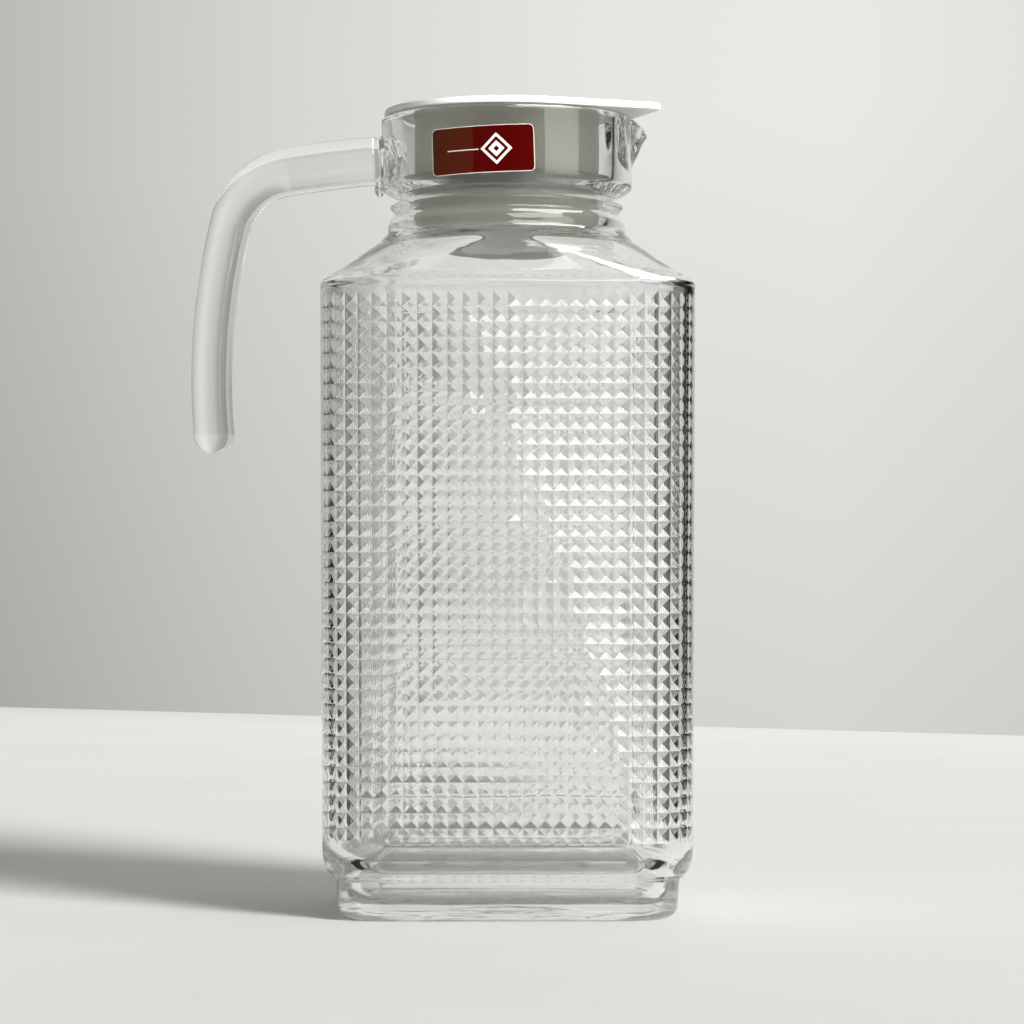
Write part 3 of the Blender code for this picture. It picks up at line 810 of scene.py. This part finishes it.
def label_print():
    """The pale border, two nested diamonds and a fine line."""
    start, end = LINE_ENDS
    line = [(start, -LINE_HALF), (end, -LINE_HALF), (end, LINE_HALF), (start, LINE_HALF)]
    inner_line = [(x * 0.999, y * 0.1) for x, y in line]
    parts = [ribbon("border", label_loop(BORDER[0]), label_loop(BORDER[1]))]
    for name, (outer, inner) in (("outer", OUTER_DIAMOND), ("inner", INNER_DIAMOND)):
        parts.append(ribbon(name, diamond_loop(outer), diamond_loop(inner)))
    parts.append(ribbon("line", loop_points(line, 6), loop_points(inner_line, 6)))
    return joined("label_print", parts)


def joined(name, meshes):
    """One mesh from several."""
    shape = bmesh.new()
    for mesh in meshes:
        shape.from_mesh(mesh)
    result = bpy.data.meshes.new(name)
    shape.to_mesh(result)
    shape.free()
    return result


# ---------------------------------------------------------------- materials

def new_material(name):
    """A material with its node tree and Principled shader."""
    finish = bpy.data.materials.new(name)
    finish.use_nodes = True
    tree = finish.node_tree
    return finish, tree, tree.nodes["Principled BSDF"]


def add_noise(tree, scale, detail=2.0):
    """A noise texture in object coordinates, as its output socket."""
    place = tree.nodes.new("ShaderNodeTexCoord")
    noise = tree.nodes.new("ShaderNodeTexNoise")
    noise.inputs["Scale"].default_value = scale
    noise.inputs["Detail"].default_value = detail
    tree.links.new(place.outputs["Object"], noise.inputs["Vector"])
    return noise.outputs["Fac"]


def add_bump(tree, shader, height, strength, distance):
    """Bump from a height socket."""
    bump = tree.nodes.new("ShaderNodeBump")
    bump.inputs["Strength"].default_value = strength
    bump.inputs["Distance"].default_value = distance
    tree.links.new(height, bump.inputs["Height"])
    tree.links.new(bump.outputs["Normal"], shader.inputs["Normal"])


def spread(tree, source, low, high, start=0.0, end=1.0):
    """Map a socket that runs from start to end to a range from low to high."""
    node = tree.nodes.new("ShaderNodeMapRange")
    node.inputs["From Min"].default_value = start
    node.inputs["From Max"].default_value = end
    node.inputs["To Min"].default_value = low
    node.inputs["To Max"].default_value = high
    tree.links.new(source, node.inputs["Value"])
    return node.outputs["Result"]


def tint(tree, shader, source, low, high):
    """Base colour between two colours, by a 0 to 1 socket."""
    ramp = tree.nodes.new("ShaderNodeValToRGB")
    ramp.color_ramp.elements[0].position = 0.3
    ramp.color_ramp.elements[0].color = (*low, 1)
    ramp.color_ramp.elements[1].position = 0.7
    ramp.color_ramp.elements[1].color = (*high, 1)
    tree.links.new(source, ramp.inputs["Fac"])
    tree.links.new(ramp.outputs["Color"], shader.inputs["Base Color"])


def roughen(tree, shader, source, low, high):
    """Roughness between two values, by a 0 to 1 socket."""
    tree.links.new(spread(tree, source, low, high), shader.inputs["Roughness"])


def glass_material():
    """Clear pressed glass with a faint cool tint and slight mould waviness."""
    finish, tree, shader = new_material("jug_glass")
    shader.inputs["Transmission Weight"].default_value = 1.0
    shader.inputs["IOR"].default_value = 1.51
    shader.inputs["Roughness"].default_value = 0.0
    waves = add_noise(tree, 60.0, 1.0)
    tint(tree, shader, waves, (0.980, 0.990, 0.984), (0.988, 0.995, 0.991))
    add_bump(tree, shader, waves, 0.25, 0.0006)
    return finish


def plastic_material(name, colours, roughness):
    """Moulded plastic, satin, with a fine grain."""
    finish, tree, shader = new_material(name)
    shader.inputs["IOR"].default_value = 1.49
    cloud = add_noise(tree, 40.0, 3.0)
    tint(tree, shader, cloud, *colours)
    roughen(tree, shader, cloud, *roughness)
    grain = add_noise(tree, 2500.0, 2.0)
    add_bump(tree, shader, grain, 0.15, 0.00005)
    return finish


def plate_material():
    """White plastic of the lid's top."""
    colours = ((0.80, 0.80, 0.765), (0.86, 0.86, 0.83))
    return plastic_material("lid_plastic", colours, (0.28, 0.38))


def shaded_skirt_material():
    """The same plastic deep inside the glass, with painted shade: darker and beige-grey, as it looks
    there, and silky.
    """
    # painted shade: the lid's white plastic made darker and beige-grey
    colours = ((0.54, 0.53, 0.46), (0.58, 0.57, 0.50))
    return plastic_material("skirt_plastic_painted_shade", colours, (0.42, 0.50))


def seal_material():
    """Pale soft rubber, slightly see-through."""
    finish, tree, shader = new_material("seal_rubber")
    shader.inputs["Transmission Weight"].default_value = 0.8
    cloud = add_noise(tree, 300.0, 2.0)
    tint(tree, shader, cloud, (0.84, 0.84, 0.80), (0.90, 0.90, 0.86))
    roughen(tree, shader, cloud, 0.25, 0.4)
    return finish


def film_material():
    """Dark red glossy film."""
    finish, tree, shader = new_material("label_film")
    cloud = add_noise(tree, 900.0, 2.0)
    tint(tree, shader, cloud, (0.046, 0.0004, 0.0004), (0.052, 0.0006, 0.0006))
    roughen(tree, shader, cloud, 0.02, 0.05)
    return finish


def print_material():
    """Pale print on the film."""
    finish, tree, shader = new_material("label_print")
    cloud = add_noise(tree, 900.0, 2.0)
    tint(tree, shader, cloud, (0.55, 0.52, 0.48), (0.66, 0.63, 0.58))
    roughen(tree, shader, cloud, 0.1, 0.2)
    return finish


def srgb(value):
    """Linear light of an 8-bit display grey."""
    value = value / 255
    return value / 12.92 if value <= 0.04045 else ((value + 0.055) / 1.055) ** 2.4


def grey(value):
    """A linear colour, slightly warm, of an 8-bit display grey."""
    return (srgb(value), srgb(value), srgb(value - 4))


# ---------------------------------------------------------------- room

def glow(name, mesh, colour, strength=1.0):
    """A piece of the room that only gives off light, and its shader nodes."""
    result = add_piece(name, mesh)
    finish, tree, shader = new_material(name)
    tree.nodes.remove(shader)
    light = tree.nodes.new("ShaderNodeEmission")
    light.inputs["Color"].default_value = (*colour, 1)
    light.inputs["Strength"].default_value = strength
    tree.links.new(light.outputs["Emission"], tree.nodes["Material Output"].inputs["Surface"])
    result.data.materials.append(finish)
    return result, tree, light


def wall():
    """Pale wall behind the jug, closer on the right, glowing with painted light: darker to the left,
    brighter higher up, with a painted dark band far to the right.
    """
    along = (WALL_RIGHT - WALL_LEFT).normalized()
    middle = (WALL_LEFT + WALL_RIGHT) / 2
    reach = along * WALL_REACH
    rise = Vector((0, 0, WALL_HEIGHT))
    corners = [middle - reach, middle + reach, middle + reach + rise, middle - reach + rise]
    light = glow("wall", mesh_of("wall", corners, [(0, 1, 2, 3)]), grey(210))[2]
    tree = light.id_data
    place = tree.nodes.new("ShaderNodeNewGeometry")
    split = tree.nodes.new("ShaderNodeSeparateXYZ")
    tree.links.new(place.outputs["Position"], split.inputs["Vector"])
    start = WALL_PAINTED_GREYS[0][0]
    end = WALL_PAINTED_GREYS[-1][0]
    # painted light across the wall, from the greys along X
    across = spread(tree, split.outputs["X"], 0.0, 1.0, start, end)
    stops = [((x - start) / (end - start), shade) for x, shade in WALL_PAINTED_GREYS]
    # painted glow that brightens the wall upward
    painted_glow_rise = spread(tree, split.outputs["Z"], *WALL_PAINTED_GLOW, 0.0, WALL_PAINTED_GLOW_Z)
    tree.links.new(ramp_node(tree, across, stops), light.inputs["Color"])
    tree.links.new(painted_glow_rise, light.inputs["Strength"])


def floor():
    """Pale table top."""
    half = FLOOR_HALF
    points = [(-half, -half, 0), (half, -half, 0), (half, half, 0), (-half, half, 0)]
    result = add_piece("floor", mesh_of("floor", points, [(0, 1, 2, 3)]))
    finish, tree, shader = new_material("floor_paper")
    cloud = add_noise(tree, 6.0, 4.0)
    tint(tree, shader, cloud, (0.80, 0.80, 0.785), (0.83, 0.83, 0.815))
    shader.inputs["Roughness"].default_value = 0.8
    shader.inputs["Specular IOR Level"].default_value = 0.1
    result.data.materials.append(finish)


def curved_panel(name, turns, heights, colour):
    """A curved panel round the jug, seen only in its glass; turns and heights in degrees."""
    steps = 12
    points = []
    for step in range(steps + 1):
        angle = math.radians(turns[0] + (turns[1] - turns[0]) * step / steps)
        x = AXIS_X + PANEL_DISTANCE * math.sin(angle)
        y = PANEL_DISTANCE * math.cos(angle)
        for height in heights:
            points.append((x, y, PANEL_DISTANCE * math.tan(math.radians(height)) + PANEL_BASE_Z))
    faces = []
    for step in range(steps):
        here = 2 * step
        faces.append((here, here + 2, here + 3, here + 1))
    only_in_reflections(glow(name, mesh_of(name, points, faces), colour)[0])


def only_in_reflections(panel):
    """Keep a panel out of sight except in reflections."""
    panel.visible_camera = False
    panel.visible_diffuse = False
    panel.visible_shadow = False
    panel.visible_transmission = False


def ceiling_panel():
    """Bright panel above, to the right of the jug, that shows as the highlights on the shoulder."""
    left = AXIS_X + (CEILING_Z - 0.2) * math.tan(math.radians(CEILING_FROM))
    right = left + 1.5
    corners = [(left, -1.2, CEILING_Z), (right, -1.2, CEILING_Z), (right, 1.0, CEILING_Z)]
    corners.append((left, 1.0, CEILING_Z))
    mesh = mesh_of("ceiling_panel", corners, [(3, 2, 1, 0)])
    only_in_reflections(glow("ceiling_panel", mesh, (1.0, 1.0, 0.98), CEILING_LIGHT)[0])


def high_window():
    """Bright window high on the right in front, seen as small highlights in the dimples."""
    middle = Vector(polar(WINDOW_TURN, WINDOW_UP, LAMP_DISTANCE))
    turn = math.radians(WINDOW_ACROSS)
    along = Vector((math.sin(turn), math.cos(turn), 0))
    across = along * WINDOW_HALF[0]
    rise = along.cross((LOOK_AT - middle).normalized()) * WINDOW_HALF[1]
    corners = [middle - across - rise, middle + across - rise]
    corners += [middle + across + rise, middle - across + rise]
    mesh = mesh_of("high_window", corners, [(0, 1, 2, 3)])
    only_in_reflections(glow("high_window", mesh, (1, 1, 1), WINDOW_LIGHT)[0])


def room():
    """What the glass shows of the room around the jug."""
    curved_panel("olive_panel", OLIVE_TURNS, OLIVE_HEIGHTS, OLIVE)
    curved_panel("pale_panel", PALE_TURNS, PALE_HEIGHTS, PALE)
    ceiling_panel()
    high_window()


def add_lamp(name, kind, place, energy):
    """A lamp that faces the jug."""
    data = bpy.data.lights.new(name, kind)
    data.energy = energy
    data.color = LAMP_COLOUR
    lamp = bpy.data.objects.new(name, data)
    bpy.context.scene.collection.objects.link(lamp)
    lamp.location = place
    lamp.rotation_euler = (LOOK_AT - Vector(place)).to_track_quat('-Z', 'Y').to_euler()
    return lamp


def lamps():
    """Broad daylight from low in front on the right, and a weak soft light from above."""
    sun = add_lamp("low_sun", 'SUN', polar(SUN_TURN, SUN_UP, LAMP_DISTANCE), SUN_LIGHT)
    sun.data.angle = math.radians(SUN_WIDTH)
    sun.visible_glossy = False
    sun.visible_transmission = False
    top = add_lamp("ceiling", 'AREA', TOP_LIGHT_PLACE, TOP_LIGHT_POWER)
    top.data.shape = 'RECTANGLE'
    top.data.size, top.data.size_y = TOP_LIGHT_SIZE
    top.visible_camera = False


def polar(turn, height, distance):
    """A place around the jug, by degrees from +Y towards +X and degrees up."""
    turn = math.radians(turn)
    height = math.radians(height)
    flat = distance * math.cos(height)
    z = LOOK_AT.z + distance * math.sin(height)
    return AXIS_X + flat * math.sin(turn), flat * math.cos(turn), z


def ramp_node(tree, source, stops):
    """A grey ramp with stops (position, display grey)."""
    ramp = tree.nodes.new("ShaderNodeValToRGB")
    ramp.color_ramp.elements[0].position = stops[0][0]
    ramp.color_ramp.elements[0].color = (*grey(stops[0][1]), 1)
    ramp.color_ramp.elements[1].position = stops[-1][0]
    ramp.color_ramp.elements[1].color = (*grey(stops[-1][1]), 1)
    for position, value in stops[1:-1]:
        ramp.color_ramp.elements.new(position).color = (*grey(value), 1)
    tree.links.new(source, ramp.inputs["Fac"])
    return ramp.outputs["Color"]


def math_node(tree, operation, first, second=None):
    """A math node fed by sockets or numbers."""
    node = tree.nodes.new("ShaderNodeMath")
    node.operation = operation
    for index, value in enumerate((first, second)):
        if isinstance(value, (int, float)):
            node.inputs[index].default_value = value
        elif value is not None:
            tree.links.new(value, node.inputs[index])
    return node.outputs["Value"]


def clamped_line(tree, source, slope, offset):
    """A straight line through a socket's value, kept within 0 to 1."""
    line = math_node(tree, 'MULTIPLY_ADD', source, slope)
    line.node.inputs[2].default_value = offset
    line.node.use_clamp = True
    return line


def mix_node(tree, share, first, second):
    """A mix of two colours by a socket."""
    node = tree.nodes.new("ShaderNodeMix")
    node.data_type = 'RGBA'
    tree.links.new(share, node.inputs["Factor"])
    for name, value in (("A", first), ("B", second)):
        socket = [one for one in node.inputs if one.name == name and one.type == 'RGBA'][0]
        if isinstance(value, tuple):
            socket.default_value = (*value, 1)
        else:
            tree.links.new(value, socket)
    return [one for one in node.outputs if one.type == 'RGBA'][0]


def world():
    """Soft pale surroundings; the edges of the glass show a room with dark parts at its sides."""
    scene = bpy.context.scene
    scene.world = bpy.data.worlds.new("room")
    scene.world.use_nodes = True
    tree = scene.world.node_tree
    back = tree.nodes["Background"]
    place = tree.nodes.new("ShaderNodeTexCoord")
    split = tree.nodes.new("ShaderNodeSeparateXYZ")
    tree.links.new(place.outputs["Generated"], split.inputs["Vector"])
    turn = math_node(tree, 'ARCTAN2', split.outputs["X"], split.outputs["Y"])
    turn = math_node(tree, 'DIVIDE', math_node(tree, 'ABSOLUTE', turn), math.pi)
    low = ramp_node(tree, turn, LOW_ROOM)
    high = ramp_node(tree, turn, HIGH_ROOM)
    rise = clamped_line(tree, split.outputs["Z"], 12.0, -0.6)
    sky = clamped_line(tree, split.outputs["Z"], 5.0, -2.5)
    room_colour = mix_node(tree, sky, mix_node(tree, rise, low, high), grey(CEILING_GREY))
    path = tree.nodes.new("ShaderNodeLightPath")
    shallow = math_node(tree, 'LESS_THAN', path.outputs["Transmission Depth"], PLAIN_PASSES)
    plain = math_node(tree, 'MAXIMUM', path.outputs["Is Camera Ray"], path.outputs["Is Diffuse Ray"])
    plain = math_node(tree, 'MAXIMUM', plain, path.outputs["Diffuse Depth"])
    plain.node.use_clamp = True
    in_glass = math_node(tree, 'MULTIPLY', shallow, math_node(tree, 'SUBTRACT', 1.0, plain))
    tree.links.new(mix_node(tree, in_glass, grey(PLAIN_GREY), room_colour), back.inputs["Color"])
    strength = spread(tree, path.outputs["Is Diffuse Ray"], 1.0, WORLD_LIGHT)
    tree.links.new(strength, back.inputs["Strength"])


def camera():
    """Camera in front, turned slightly round the jug."""
    data = bpy.data.cameras.new("camera")
    data.lens = CAMERA_LENS
    data.sensor_width = 36
    data.shift_x, data.shift_y = CAMERA_SHIFT
    result = bpy.data.objects.new("camera", data)
    bpy.context.scene.collection.objects.link(result)
    turn = math.radians(CAMERA_TURN)
    x = AXIS_X - CAMERA_DISTANCE * math.sin(turn)
    result.location = (x, -CAMERA_DISTANCE * math.cos(turn), CAMERA_Z)
    result.rotation_euler = (math.pi / 2, 0, -turn)
    bpy.context.scene.camera = result


# ---------------------------------------------------------------- whole scene

def place_piece(mesh, finish, body, nodes):
    """Move a mesh to the jug's axis and hang it on a body in place of CAD nodes."""
    mesh.transform(Matrix.Translation((AXIS_X, 0, 0)))
    mesh.materials.clear()
    mesh.materials.append(finish)
    piece = add_piece(mesh.name, mesh)
    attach(piece, body)
    if nodes:
        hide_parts(*nodes)


def fused_glass():
    """The body and the handle as one solid."""
    body = add_piece("jug_glass", glass_skin())
    rods = [add_piece("handle_rod", handle_mesh())]
    rods.append(add_piece("drop", drop_mesh("drop", DROP_PLACE, DROP_SIZE)))
    for rod in rods:
        union = body.modifiers.new(rod.name, 'BOOLEAN')
        union.operation = 'UNION'
        union.solver = 'EXACT'
        union.object = rod
    bpy.context.view_layer.update()
    evaluated = body.evaluated_get(bpy.context.evaluated_depsgraph_get())
    fused = bpy.data.meshes.new_from_object(evaluated)
    fused.name = "jug_glass_fused"
    for spent in rods + [body]:
        bpy.data.objects.remove(spent)
    return fused


def build():
    """Everything in the scene."""
    scene = bpy.context.scene
    scene.view_settings.view_transform = 'Standard'
    scene.cycles.max_bounces = 24
    scene.cycles.transmission_bounces = 24
    scene.cycles.glossy_bounces = 16
    camera()
    world()
    wall()
    floor()
    room()
    lamps()
    glass_nodes = ("glass_body", "glass_handle")
    place_piece(fused_glass(), glass_material(), "jug", glass_nodes)
    place_piece(lid_plate(), plate_material(), "lid", ("lid",))
    place_piece(lid_skirt(), shaded_skirt_material(), "lid", ())
    place_piece(seal_ring(), seal_material(), "seal", ("lid_seal",))
    place_piece(label_sheet(), film_material(), "jug", ("label",))
    place_piece(label_print(), print_material(), "jug", ())


build()
